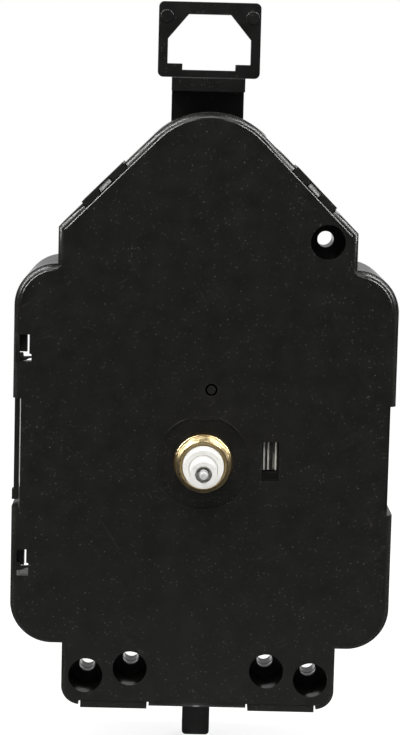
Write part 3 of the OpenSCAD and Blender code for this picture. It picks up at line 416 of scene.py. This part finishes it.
def black_moulding(name, tone=0.0052, shine=0.33, specks=0.4, rings=(), frames=(), shaded_grooves=()):
    """Black moulded plastic: etched and dusty faces, smooth walls, and painted shade in its
    grooves.
    """
    made, tree = new_material(name)
    place = millimetres(tree)
    normal = add(tree, "NewGeometry").outputs["Normal"]
    facing = calculate(tree, "ABSOLUTE", add(tree, "SeparateXYZ", {0: normal}).outputs["Y"])
    etched = ramp(tree, facing, *face_on)
    skin = place_group(tree, mould_skin, Vector=place, Grain=0.22, Waves=0.5)

    fine, middling, coarse = (
        place_group(tree, dust, Vector=place, Cell=cell, Amount=specks * share, Size=size)["Mask"]
        for cell, share, size in dust_kinds)
    denser = ramp(tree, skin["Tone"], *dusty_tone, *fine_share)
    dusty = calculate(tree, "MAXIMUM", middling, coarse)
    dusty = calculate(tree, "ADD", times(tree, fine, denser), dusty, clamp=True)
    dusty = times(tree, dusty, etched)
    worn = place_group(tree, edge_wear, Vector=place, Radius=0.2, Amount=0.7)["Mask"]
    marks, more = (place_group(tree, scratches, Vector=place, Turn=turn, Width=width)["Mask"]
                   for turn, width in ((0.45, 0.004), (-1.0, 0.003)))
    marks = times(tree, calculate(tree, "MAXIMUM", marks, more), etched)

    dark, pale = (tuple(tone * c for c in share) for share in (dark_share, pale_share))
    colour = blend_colours(tree, skin["Tone"], dark, pale)
    colour = tint(tree, colour, rubbed_grey, worn, most=0.45)
    colour = tint(tree, colour, scratch_grey, marks, most=0.35)
    colour = tint(tree, colour, dust_grey, dusty, most=0.5)
    rough = ramp(tree, skin["Tone"], *noise_span, shine - 0.04, shine + 0.06)
    rough = calculate(tree, "SUBTRACT", rough, ramp(tree, etched, 0.0, 1.0, wall_gloss, 0.0))
    rough = calculate(tree, "ADD", rough, times(tree, dusty, dust_matt))
    height = times(tree, skin["Height"], ramp(tree, etched, 0.0, 1.0, wall_texture, 1.0))
    height = calculate(tree, "SUBTRACT", height, times(tree, marks, scratch_deep))

    outlines = [(x, z, r, 0.0, 0.0) for x, z, r in rings] + list(frames)
    for x, z, r, half_width, half_height in outlines:
        ridge = place_group(tree, mould_mark, Vector=place, Centre=(x, 0, z), Radius=r,
                            Half_Width=half_width, Half_Height=half_height)["Mask"]
        height = calculate(tree, "ADD", height, times(tree, ridge, ridge_high))
    sheen = 0.5
    # Each groove is sunk by a bump and gets painted shade: its colour turns near black and its
    # specular level drops.
    for x, z, r in shaded_grooves:
        cut = place_group(tree, mould_mark, Vector=place, Centre=(x, 0, z), Radius=r,
                          Line=groove_line)["Mask"]
        cut = times(tree, cut, groove_edge, clamp=True)
        height = calculate(tree, "SUBTRACT", height, times(tree, cut, groove_deep))
        colour = tint(tree, colour, groove_painted_shade, cut, most=0.95)
        sheen = calculate(tree, "SUBTRACT", sheen, times(tree, cut, 0.5), clamp=True)
    surface(tree, colour, rough, height, strength=0.5, deep=0.006, IOR=1.5,
            Specular_IOR_Level=sheen)
    return made


def new_piece(name, mesh, body, sharp=40):
    """An object of the mesh, shaded smooth between its sharp edges, riding a body."""
    mesh.polygons.foreach_set("use_smooth", [True] * len(mesh.polygons))
    mesh.set_sharp_from_angle(angle=math.radians(sharp))
    piece = bpy.data.objects.new(name, mesh)
    bpy.context.collection.objects.link(piece)
    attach(piece, body)
    return piece


fold_above = 0.6


def prism_mesh(name, outlines, bevel=0.03):
    """A solid between like outlines of (x, y, z) points in millimetres, its edges rounded."""
    mesh = bpy.data.meshes.new(name)
    shape = bmesh.new()
    rows = [[shape.verts.new(Vector(point) * MM) for point in outline] for outline in outlines]
    count = len(outlines[0])
    for row, after in zip(rows, rows[1:]):
        for k in range(count):
            beside = (k + 1) % count
            shape.faces.new((row[k], row[beside], after[beside], after[k]))
    shape.faces.new(rows[0])
    shape.faces.new(rows[-1])
    bmesh.ops.recalc_face_normals(shape, faces=shape.faces)
    if bevel:
        folds = [edge for edge in shape.edges if edge.calc_face_angle(0) > fold_above]
        bmesh.ops.bevel(shape, geom=folds, offset=bevel * MM, segments=2, affect="EDGES",
                        profile=0.5)
    shape.to_mesh(mesh)
    shape.free()
    return mesh


# Screw seats as x and z, four in the foot and one in the roof. Marks on the face as x, z and
# radius; the insert's outline has its two half sizes as well.
screws = [(side * x, z) for x, z in ((10.1, -31.05), (16.65, -32.25)) for side in (-1, 1)]
screws.append((17.35, 32.75))
pin_rings = [(x, z - 0.6, 3.5) for x, z in screws[:2]]
pin_rings.append((-26.62, -8.78, 0.5))
insert_frame = (-25.9, -15.4, 0.4, 1.6, 3.0)
# The gate's ring is a groove with painted shade in it.
gate_ring = (0.94, 10.81, 0.76)
cover_black = black_moulding("cover_black", rings=pin_rings, frames=[insert_frame],
                             shaded_grooves=[gate_ring])
finish(soften("front_case"), cover_black)

# Raised lines of the cover. They run a millimetre inside the edge on the roof slopes and the
# shoulders, and beside the recess round the shaft; they are moulded in one with the cover.
roof_half, eaves_z, ridge_r = 21.75, 34.05, 11.4
body_half, body_top, shoulder_r = 28.0, 28.7, 6.2
ridge_z = roof_half + eaves_z - ridge_r * math.sqrt(2)
line_inset, line_half, line_high, line_foot = 0.98, 0.14, 0.09, 0.03
recess_line_r, recess_share, least_share = 6.97, 0.35, 0.05
roof_fade, other_fade = 6, 4
# The roof's line ends on the bisector of the eaves' corner, lower by this share of its inset.
bisector_drop = 0.414
# Section of a line: the places across it, in its half width, and the share of its height.
profile = ((-1, 0), (-0.15, 1), (0.15, 1), (1, 0))
sides = (("left", -1), ("right", 1))


def arc(x, z, r, start, end, step):
    """Points on an arc; its angles are measured from straight up, towards +X."""
    return [(x + r * math.sin(math.radians(angle)), z + r * math.cos(math.radians(angle)))
            for angle in range(start, end, step)]


roof_line = [(roof_half - line_inset, eaves_z - line_inset * bisector_drop)]
roof_line += arc(0, ridge_z, ridge_r - line_inset, 45, 8, -3)
shoulder_line = arc(body_half - shoulder_r, body_top - shoulder_r, shoulder_r - line_inset,
                    88, 3, -4)
recess_line = arc(0, 0, recess_line_r, 56, 16, -3)
for part, path in (("roof", roof_line), ("shoulder", shoulder_line), ("recess", recess_line)):
    last = len(path) - 1
    most = recess_share if part == "recess" else 1
    for name, side in sides:
        sections = []
        for k, (x, z) in enumerate(path):
            before, after = path[max(0, k - 1)], path[min(last, k + 1)]
            run = math.dist(before, after)
            out_x, out_z = (before[1] - after[1]) / run, (after[0] - before[0]) / run
            fade = (last - k) / roof_fade if part == "roof" else min(k, last - k) / other_fade
            high = line_high * max(least_share, min(1.0, fade)) * most
            sections.append([(side * (x + out_x * line_half * t),
                              line_foot - (line_foot + high) * h,
                              z + out_z * line_half * t) for t, h in profile])
        mesh = prism_mesh("%s_line_%s" % (part, name), sections, bevel=0)
        finish(new_piece(mesh.name, mesh, "case", sharp=25), cover_black)

# Window bars, ribs and lips, all moulded in one with the cover. In each latch window of the
# left edge a sloping bar closes the way below the rear case's hook, and a rib and a lip
# narrow the slits beside it.
window_x, window_high = -27.5, 4.1
rim_x, wall_x, rib_x, lip_x = -0.2, 2.35, 1.82, 0.40
for k, (window_low, bar_up, rib_up) in enumerate(((14.4, 1.1, 1.0), (-17.4, 1.8, 1.8))):
    bar = ((rim_x, -1.1), (0.8, -1.1), (1.3, -1.0), (1.75, -0.75), (wall_x, -0.62),
           (wall_x, -0.40), (1.0, -0.46), (0.9, 0.1), (rim_x, 0.1))
    rib = ((rib_x, rib_up + 0.1), (wall_x, rib_up - 0.1), (wall_x, window_high),
           (rib_x, window_high))
    lip = ((rim_x, -0.2), (lip_x, -0.2), (lip_x, window_high), (rim_x, window_high))
    for name, outline, base, depths in (("bar", bar, window_low + bar_up, (0.4, 1.0)),
                                        ("rib", rib, window_low, (0.15, 1.3)),
                                        ("lip", lip, window_low, (0.2, 1.2))):
        mesh = prism_mesh("window_%s_%d" % (name, k),
                          [[(window_x + x, y, base + z) for x, z in outline] for y in depths])
        finish(new_piece(mesh.name, mesh, "case"), cover_black)

# Rear case. The same black plastic as the cover, moulded as a deep tray with the battery
# bay, the knob's cup and the pendulum's recess; ejector pins have left rings on its floor.
floor_pins = [(x, z, 1.6) for x in (-23.0, 23.0) for z in (-22.0, 4.5)]
roof_pin = (12.0, 31.0, 1.3)
rear_black = black_moulding("rear_black", tone=0.007, shine=0.38, specks=0.2,
                            rings=floor_pins + [roof_pin])
finish(soften("rear_case"), rear_black)


# Screw sleeves. Behind each seat of the cover the rear case carries a short tube, just wide
# enough for the screw, moulded in one with the case.
def ringed_mesh(name, rings, steps=96):
    """A closed ring body round the Y axis: rings of a depth and a radius, or radius by angle."""
    mesh = bpy.data.meshes.new(name)
    points, quads = [], []
    for depth, radius in rings:
        for step in range(steps):
            turn = 2 * math.pi * step / steps
            r = radius(turn) if callable(radius) else radius
            points.append((r * math.cos(turn) * MM, depth * MM, r * math.sin(turn) * MM))
    for ring in range(len(rings)):
        after = (ring + 1) % len(rings)
        for step in range(steps):
            beside = (step + 1) % steps
            quads.append((ring * steps + step, ring * steps + beside,
                          after * steps + beside, after * steps + step))
    mesh.from_pydata(points, [], quads)
    shape = bmesh.new()
    shape.from_mesh(mesh)
    bmesh.ops.recalc_face_normals(shape, faces=shape.faces)
    shape.to_mesh(mesh)
    shape.free()
    return mesh


sleeve_front, sleeve_back, sleeve_r, sleeve_bore = 9.0, 12.4, 2.85, 1.2
rim_edge, bore_edge = 0.07, 0.08
sleeve = [(sleeve_front, sleeve_bore + bore_edge), (sleeve_front, sleeve_r - rim_edge),
          (sleeve_front + rim_edge, sleeve_r), (sleeve_back, sleeve_r),
          (sleeve_back, sleeve_bore + bore_edge), (sleeve_back - bore_edge, sleeve_bore),
          (sleeve_front + bore_edge, sleeve_bore)]
for k, (x, z) in enumerate(screws):
    mesh = ringed_mesh("screw_sleeve_%d" % k, sleeve, steps=48)
    mesh.transform(Matrix.Translation(Vector((x, 0, z)) * MM))
    finish(new_piece(mesh.name, mesh, "case"), rear_black)

# Roof catches. In the middle of each roof tab a small nose with a slanted front, moulded in
# one with the rear case, snaps over the cover's edge; the slanted face catches the light.
catch_ends = (7.95, 10.1)
nose = ((-0.72, 1.6), (-0.72, 0.35), (-0.62, 0.3), (0.0, 0.95), (0.0, 1.6))
for name, side in sides:
    outlines = [[(side * (roof_half - (along - out) * math.sqrt(0.5)), y,
                  eaves_z + (along + out) * math.sqrt(0.5)) for out, y in nose]
                for along in catch_ends]
    mesh = prism_mesh("roof_catch_" + name, outlines)
    finish(new_piece(mesh.name, mesh, "case"), rear_black)

# Hanger. A black moulded loop on a cranked tongue, slid into the pocket on the back of
# the roof; it is handled most, so its edges are rounder.
hanger_black = black_moulding("hanger_black", tone=0.0022, shine=0.36, specks=0.35)
finish(soften("hanger", width=0.25), hanger_black)


# Dial bush. Turned from brass bar, with an M8 thread of 0.75 mm pitch in front of the case
# for the nut that clamps the dial; a collar fills the case's hole and a flange holds behind.
def metal(name, colour, dull, rough, brushed, deep=0.01, metallic=1.0):
    """Bare metal with fine tool marks and a few duller patches."""
    made, tree = new_material(name)
    place = millimetres(tree)
    along = add(tree, "VectorMath", {0: place, 1: brushed}, operation="MULTIPLY").outputs[0]
    marks = noise(tree, along, scale=6.0, detail=4.0)
    worn = place_group(tree, edge_wear, Vector=place, Radius=0.12, Amount=0.8)["Mask"]
    patches = noise(tree, place, scale=0.5, detail=3.0)
    shade = blend_colours(tree, patches, colour, dull)
    bright = tuple(min(1, c * 1.15) for c in colour)
    shade = tint(tree, shade, bright, worn, most=0.6)
    rough = ramp(tree, marks, *noise_span, rough - 0.06, rough + 0.08)
    surface(tree, shade, rough, marks, strength=0.35, deep=deep, Metallic=metallic)
    return made


bush_low, bush_high = (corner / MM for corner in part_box("dial_bush"))
bush_front, bush_back, flange_r = bush_low.y, bush_high.y, bush_high.x
collar_r, collar_end, bush_bore, bush_edge = 4.18, 1.51, 3.05, 0.1
thread_r, thread_pitch, thread_deep, thread_rows = 4.0, 0.75, 0.40, 36
flank_slope, crest_flat = 1.35, 0.17
lead_length, lead_deep, runout_gap, runout_length = 0.45, 0.35, 0.15, 0.3
collar_edge, back_chamfer, front_chamfer = 0.08, 0.25, 0.3


def thread_at(depth):
    """Radius of the thread's flank by angle, at a depth along the bush."""
    def radius(turn):
        phase = (depth / thread_pitch + turn / (2 * math.pi)) % 1
        flank = min(1, max(0, flank_slope * abs(2 * phase - 1) - crest_flat))
        lead = min(1, (depth - bush_front) / lead_length)
        runout = min(1, max(0, (-depth - runout_gap) / runout_length))
        crest = thread_r - lead_deep * (1 - lead)
        return min(crest, thread_r - thread_deep * flank * runout)
    return radius


thread_depths = [bush_front - bush_front * k / thread_rows for k in range(thread_rows + 1)]
bush_rings = [(depth, thread_at(depth)) for depth in thread_depths]
bush_rings += [(0.0, collar_r - collar_edge), (collar_edge, collar_r), (collar_end, collar_r),
               (collar_end, flange_r - bush_edge), (collar_end + bush_edge, flange_r),
               (bush_back - bush_edge, flange_r), (bush_back, flange_r - bush_edge),
               (bush_back, bush_bore + back_chamfer), (bush_back - back_chamfer, bush_bore),
               (bush_front + front_chamfer, bush_bore), (bush_front, bush_bore + front_chamfer)]
brass = metal("turned_brass", (0.60, 0.47, 0.26), (0.46, 0.36, 0.19), rough=0.30,
              brushed=(1, 8, 1))
bush = new_piece("threaded_bush", ringed_mesh("threaded_bush", bush_rings), "case", sharp=30)
finish(bush, brass)
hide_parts("dial_bush")


# Hour and minute pipes and the other wheels. White acetal mouldings, each turning on a tube,
# a shaft or its own pivots; the pipes and hubs show fine rings from the turned mould inserts,
# and handling has left them a little grey.
ring_waves, ring_high, handled_grey = 42.0, 0.25, (0.60, 0.59, 0.56)


def white_moulding(name, tone, rough=0.42):
    """White plastic with flow lines, and fine rings round the Y axis."""
    made, tree = new_material(name)
    place = millimetres(tree)
    skin = place_group(tree, mould_skin, Vector=place, Grain=0.4, Waves=0.6)
    worn = place_group(tree, edge_wear, Vector=place, Radius=0.15, Amount=0.6)["Mask"]
    axis = add(tree, "SeparateXYZ", {0: place}).outputs
    squares = (times(tree, axis[way], axis[way]) for way in ("X", "Z"))
    around = calculate(tree, "SQRT", calculate(tree, "ADD", *squares))
    rings = calculate(tree, "SINE", times(tree, around, ring_waves))
    colour = blend_colours(tree, skin["Tone"], tone, tuple(c * 0.92 for c in tone))
    colour = tint(tree, colour, handled_grey, worn, most=0.4)
    rough = ramp(tree, skin["Tone"], *noise_span, rough - 0.06, rough + 0.08)
    height = calculate(tree, "ADD", skin["Height"], times(tree, rings, ring_high))
    surface(tree, colour, rough, height, strength=0.35, deep=0.008, IOR=1.48)
    return made


pipe_white = white_moulding("pipe_white", (0.70, 0.69, 0.66))
for node in ("hour_wheel", "minute_wheel", "transfer_wheel", "third_wheel", "second_wheel",
             "intermediate_wheel", "rotor_pinion", "setting_stem"):
    finish(soften(node, width=0.05), pipe_white)

# Middle plate, train cover and bobbins. Moulded from natural polyamide, a little yellower
# than the wheels; the plate's ribbed latch shows in the slot beside the hand shaft.
frame_white = white_moulding("frame_white", (0.62, 0.60, 0.54), rough=0.48)
for node in ("middle_plate", "train_cover", "coil_bobbin", "drive_bobbin"):
    finish(soften(node, width=0.05), frame_white)


# Latch tongues. Thin black fingers of the rear case stand in front of the plate's pale ribs
# and lock the plate when the case is closed. Three run down the slot; the fourth is a stub
# at its top, between the second and the third.
def block_mesh(name, low, high, bevel=0.05):
    """A box between two corners in millimetres, its edges rounded."""
    mesh = bpy.data.meshes.new(name)
    shape = bmesh.new()
    bmesh.ops.create_cube(shape, size=1)
    for point in shape.verts:
        point.co = Vector([(low[k] + (point.co[k] + 0.5) * (high[k] - low[k])) * MM
                           for k in range(3)])
    bmesh.ops.bevel(shape, geom=shape.edges, offset=bevel * MM, segments=2, affect="EDGES",
                    profile=0.5)
    shape.to_mesh(mesh)
    shape.free()
    return mesh


tongue_front, tongue_back, tongue_top, tongue_low, stub_low = 1.0, 1.38, 3.15, -1.0, 1.6
for k, (left_x, right_x, low_z) in enumerate((
        (9.14, 9.44, tongue_low), (9.78, 10.22, tongue_low), (10.78, 11.04, tongue_low),
        (10.28, 10.42, stub_low))):
    mesh = block_mesh("latch_tongue_%d" % k, (left_x, tongue_front, low_z),
                      (right_x, tongue_back, tongue_top), bevel=0.04)
    finish(new_piece(mesh.name, mesh, "case"), rear_black)

# Seconds shaft and pendulum pin. Drawn steel rod, tumbled to a pale satin, with fine marks
# along the rod and a cut end; the shaft is fixed in the seconds wheel and the pin in the case.
steel = metal("drawn_steel", (0.78, 0.78, 0.77), (0.64, 0.64, 0.63), rough=0.42,
              brushed=(1, 6, 1), metallic=0.45)
for node in ("second_shaft", "pendulum_pin"):
    finish(soften(node, width=0.04), steel)

# Stator and coil core. Stamped from soft magnetic sheet, grey and dull from annealing; the
# core passes through the motor coil's bobbin and joins the stator's two arms.
annealed = metal("annealed_sheet", (0.42, 0.42, 0.42), (0.30, 0.30, 0.31), rough=0.42,
                 brushed=(2, 1, 2))
for node in ("stator", "coil_core"):
    finish(soften(node, width=0.04), annealed)

# Battery contacts and crystal can. The contacts are nickel-plated strip, folded into the ends
# of the battery bay and led down to the board; the can is drawn, lies on the board and has
# the same soft shine.
nickel = metal("nickel_plate", (0.66, 0.65, 0.61), (0.52, 0.50, 0.46), rough=0.20,
               brushed=(1, 1, 5), deep=0.006)
for node in ("battery_plus", "battery_spring", "quartz_can"):
    finish(soften(node, width=0.04), nickel)


# Motor coil and drive coil. Enamelled copper wire, wound turn against turn; the outer layer
# is one wire that runs in a helix over a packed body of the layers below it, and the imported coil
# is hidden.
def helix_mesh(name, turns, length, wire, coil_r, around=28, corners=6):
    """The outer wire of a coil round the Y axis, from depth 0 to a length, with closed ends."""
    mesh = bpy.data.meshes.new(name)
    points, quads = [], []
    total = int(turns * around)
    for k in range(total + 1):
        turn = 2 * math.pi * k / around
        along = wire / 2 + (length - wire) * k / total
        for corner in range(corners):
            lean = 2 * math.pi * corner / corners
            r = coil_r - wire / 2 + wire / 2 * math.cos(lean)
            points.append((r * math.cos(turn) * MM, (along + wire / 2 * math.sin(lean)) * MM,
                           r * math.sin(turn) * MM))
    for k in range(total):
        for corner in range(corners):
            beside = (corner + 1) % corners
            quads.append((k * corners + corner, k * corners + beside,
                          (k + 1) * corners + beside, (k + 1) * corners + corner))
    quads.append(tuple(range(corners - 1, -1, -1)))
    quads.append(tuple(total * corners + corner for corner in range(corners)))
    mesh.from_pydata(points, [], quads)
    return mesh


def enamelled_wire(name):
    """Copper under clear reddish enamel, a little uneven from turn to turn."""
    made, tree = new_material(name)
    uneven = noise(tree, millimetres(tree), scale=1.6, detail=3.0)
    colour = blend_colours(tree, uneven, (0.60, 0.22, 0.08), (0.42, 0.13, 0.04))
    rough = ramp(tree, uneven, *noise_span, 0.24, 0.36)
    surface(tree, colour, rough, uneven, strength=0.3, deep=0.01, Metallic=0.85,
            Coat_Weight=0.5, Coat_Roughness=0.15)
    return made


copper = enamelled_wire("enamelled_wire")
wire = 0.26
for node, bore_r, upright in (("motor_coil", 1.54, True), ("drive_coil", 2.14, False)):
    low, high = (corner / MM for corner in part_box(node))
    middle = (low + high) / 2
    length = high.z - low.z if upright else high.y - low.y
    coil_r = (high.x - low.x) / 2
    outer = helix_mesh(node + "_wire", round(length / wire) - 1, length, wire, coil_r)
    packed = ringed_mesh(node + "_layers", [
        (0, coil_r - wire), (length, coil_r - wire), (length, bore_r), (0, bore_r)], steps=48)
    if upright:
        seat = Matrix.Translation(Vector((middle.x, middle.y, low.z)) * MM)
        seat = seat @ Matrix.Rotation(math.pi / 2, 4, "X")
    else:
        seat = Matrix.Translation(Vector((middle.x, low.y, middle.z)) * MM)
    for mesh, sharp in ((outer, 80), (packed, 40)):
        mesh.transform(seat)
        piece = new_piece(mesh.name, mesh, "case", sharp)
        finish(piece, copper)
    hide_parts(node)


# Circuit board. Green resist on laminate with copper tracks under it; the clock chip sits
# below a poured black drop, and small parts and the contact strips are soldered on.
thread_waves = 14.0


def laminate(name):
    """Green resist, a little mottled, over the weave of the laminate."""
    made, tree = new_material(name)
    place = millimetres(tree)
    across = add(tree, "SeparateXYZ", {0: place}).outputs
    weave = times(tree, *(calculate(tree, "SINE", times(tree, across[way], thread_waves))
                          for way in ("X", "Z")))
    mottled = noise(tree, place, scale=0.8, detail=3.0)
    colour = blend_colours(tree, mottled, (0.020, 0.095, 0.036), (0.014, 0.070, 0.028))
    rough = ramp(tree, mottled, *noise_span, 0.30, 0.42)
    surface(tree, colour, rough, weave, strength=0.2, deep=0.01, Coat_Weight=0.3,
            Coat_Roughness=0.12)
    return made


def plain_finish(name, colour, other, rough, coat=0.0, fine=3.0, deep=0.01, metallic=0.0):
    """A finish mottled between two colours, with small bumps."""
    made, tree = new_material(name)
    place = millimetres(tree)
    mottled = noise(tree, place, fine, detail=4.0)
    worn = place_group(tree, edge_wear, Vector=place, Radius=0.1, Amount=0.5)["Mask"]
    shade = blend_colours(tree, ramp(tree, mottled, *noise_span), colour, other)
    pale = tuple(min(1, c * 1.8 + 0.02) for c in colour)
    shade = tint(tree, shade, pale, worn, most=0.4)
    rough = ramp(tree, mottled, *noise_span, rough - 0.05, rough + 0.07)
    surface(tree, shade, rough, mottled, strength=0.4, deep=deep, Metallic=metallic,
            Coat_Weight=coat, Coat_Roughness=0.1)
    return made


resist = laminate("green_resist")
finish(soften("circuit_board", width=0.05), resist)
resin = plain_finish("black_resin", (0.010, 0.010, 0.011), (0.016, 0.016, 0.017), rough=0.22,
                     coat=0.6, fine=0.5, deep=0.05)
finish(soften("chip_cover", width=0.03), resin)
solder = plain_finish("solder", (0.52, 0.52, 0.52), (0.40, 0.40, 0.41), rough=0.28,
                      metallic=1.0)
ceramic = plain_finish("chip_part", (0.34, 0.24, 0.15), (0.28, 0.19, 0.12), rough=0.45)

# Tracks. Copper etched from the board's own sheet and covered by the resist, so that each
# shows as a low green ridge: three along the lower edge, and two from chip to crystal.
board_low, board_high = (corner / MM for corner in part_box("circuit_board"))
board_back = board_high.y
chip_right = (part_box("chip_cover")[1] / MM).x
can_low, can_high = (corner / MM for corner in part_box("quartz_can"))
track_left, track_right, track_pitch, track_wide, track_high = -19.0, -4.9, 0.7, 0.3, 0.05
edge_gap, chip_gap, can_overlap, can_gap = 1.2, 0.3, 0.6, 0.5
tracks = [(track_left + k, track_right, board_low.z + edge_gap + track_pitch * k)
          for k in range(3)]
tracks += [(chip_right + chip_gap, can_low.x + can_overlap, can_low.z + can_gap + track_pitch * k)
           for k in range(2)]
for k, (left_x, right_x, z) in enumerate(tracks):
    mesh = block_mesh("track_%d" % k, (left_x, board_back, z),
                      (right_x, board_back + track_high, z + track_wide), bevel=0.02)
    finish(new_piece(mesh.name, mesh, "case"), resist)

# Resistor and capacitor. Small ceramic bodies with a metal cap at each end, soldered flat on
# the board; the caps stand a little proud of the ceramic.
part_half, part_high, part_wide = 0.7, 0.6, 0.6
cap_at, cap_half, cap_high, cap_wide = 1.0, 0.32, 0.63, 0.62
for name, x, z in (("resistor", 13.2, board_high.z - 2.6), ("capacitor", 16.4, board_low.z + 3.4)):
    body = block_mesh(name, (x - part_half, board_back, z - part_wide),
                      (x + part_half, board_back + part_high, z + part_wide))
    finish(new_piece(name, body, "case"), ceramic)
    for end, side in sides:
        cap_x = x + side * cap_at
        cap = block_mesh("%s_%s_end" % (name, end), (cap_x - cap_half, board_back, z - cap_wide),
                         (cap_x + cap_half, board_back + cap_high, z + cap_wide), bevel=0.08)
        finish(new_piece(cap.name, cap, "case"), solder)

# Crystal leads. Two thin nickel-plated wires run from the can's end towards the chip, and a
# drop of solder fixes each to the board.
lead_apart, lead_half, lead_out, lead_in, joint_out = 0.35, 0.1, 1.3, 0.1, 1.2
joint = [(0, 0.45), (0.25, 0.40), (0.6, 0.24), (1.2, 0.14), (1.3, 0.02), (0, 0.02)]
for k, side in enumerate((-1, 1)):
    z = (can_low.z + can_high.z) / 2 + side * lead_apart
    y = (can_low.y + can_high.y) / 2
    lead = block_mesh("crystal_lead_%d" % k,
                      (can_low.x - lead_out, y - lead_half, z - lead_half),
                      (can_low.x + lead_in, y + lead_half, z + lead_half), bevel=0.04)
    finish(new_piece(lead.name, lead, "case"), nickel)
    drop = ringed_mesh("crystal_joint_%d" % k, joint, steps=20)
    drop.transform(Matrix.Translation(Vector((can_low.x - joint_out, board_back, z)) * MM))
    finish(new_piece(drop.name, drop, "case"), solder)

# Magnets. A ring on the rotor's arbor and a disc in the pendulum arm's cup, both pressed from
# ferrite: dark grey, with a fine grain and chipped, paler edges.
ferrite = plain_finish("ferrite", (0.045, 0.045, 0.048), (0.070, 0.070, 0.073), rough=0.45,
                       fine=5.0, deep=0.02)
for node in ("rotor_magnet", "pendulum_magnet"):
    finish(soften(node, width=0.08), ferrite)

# Pendulum arm and setting knob. Smooth black mouldings; the arm carries the magnet in a cup
# and ends in the hook for the pendulum rod, and the knob has flutes for the finger tips.
arm_black = black_moulding("arm_black", tone=0.006, shine=0.4, specks=0.12)
for node in ("pendulum_arm", "setting_knob"):
    finish(soften(node, width=0.15), arm_black)
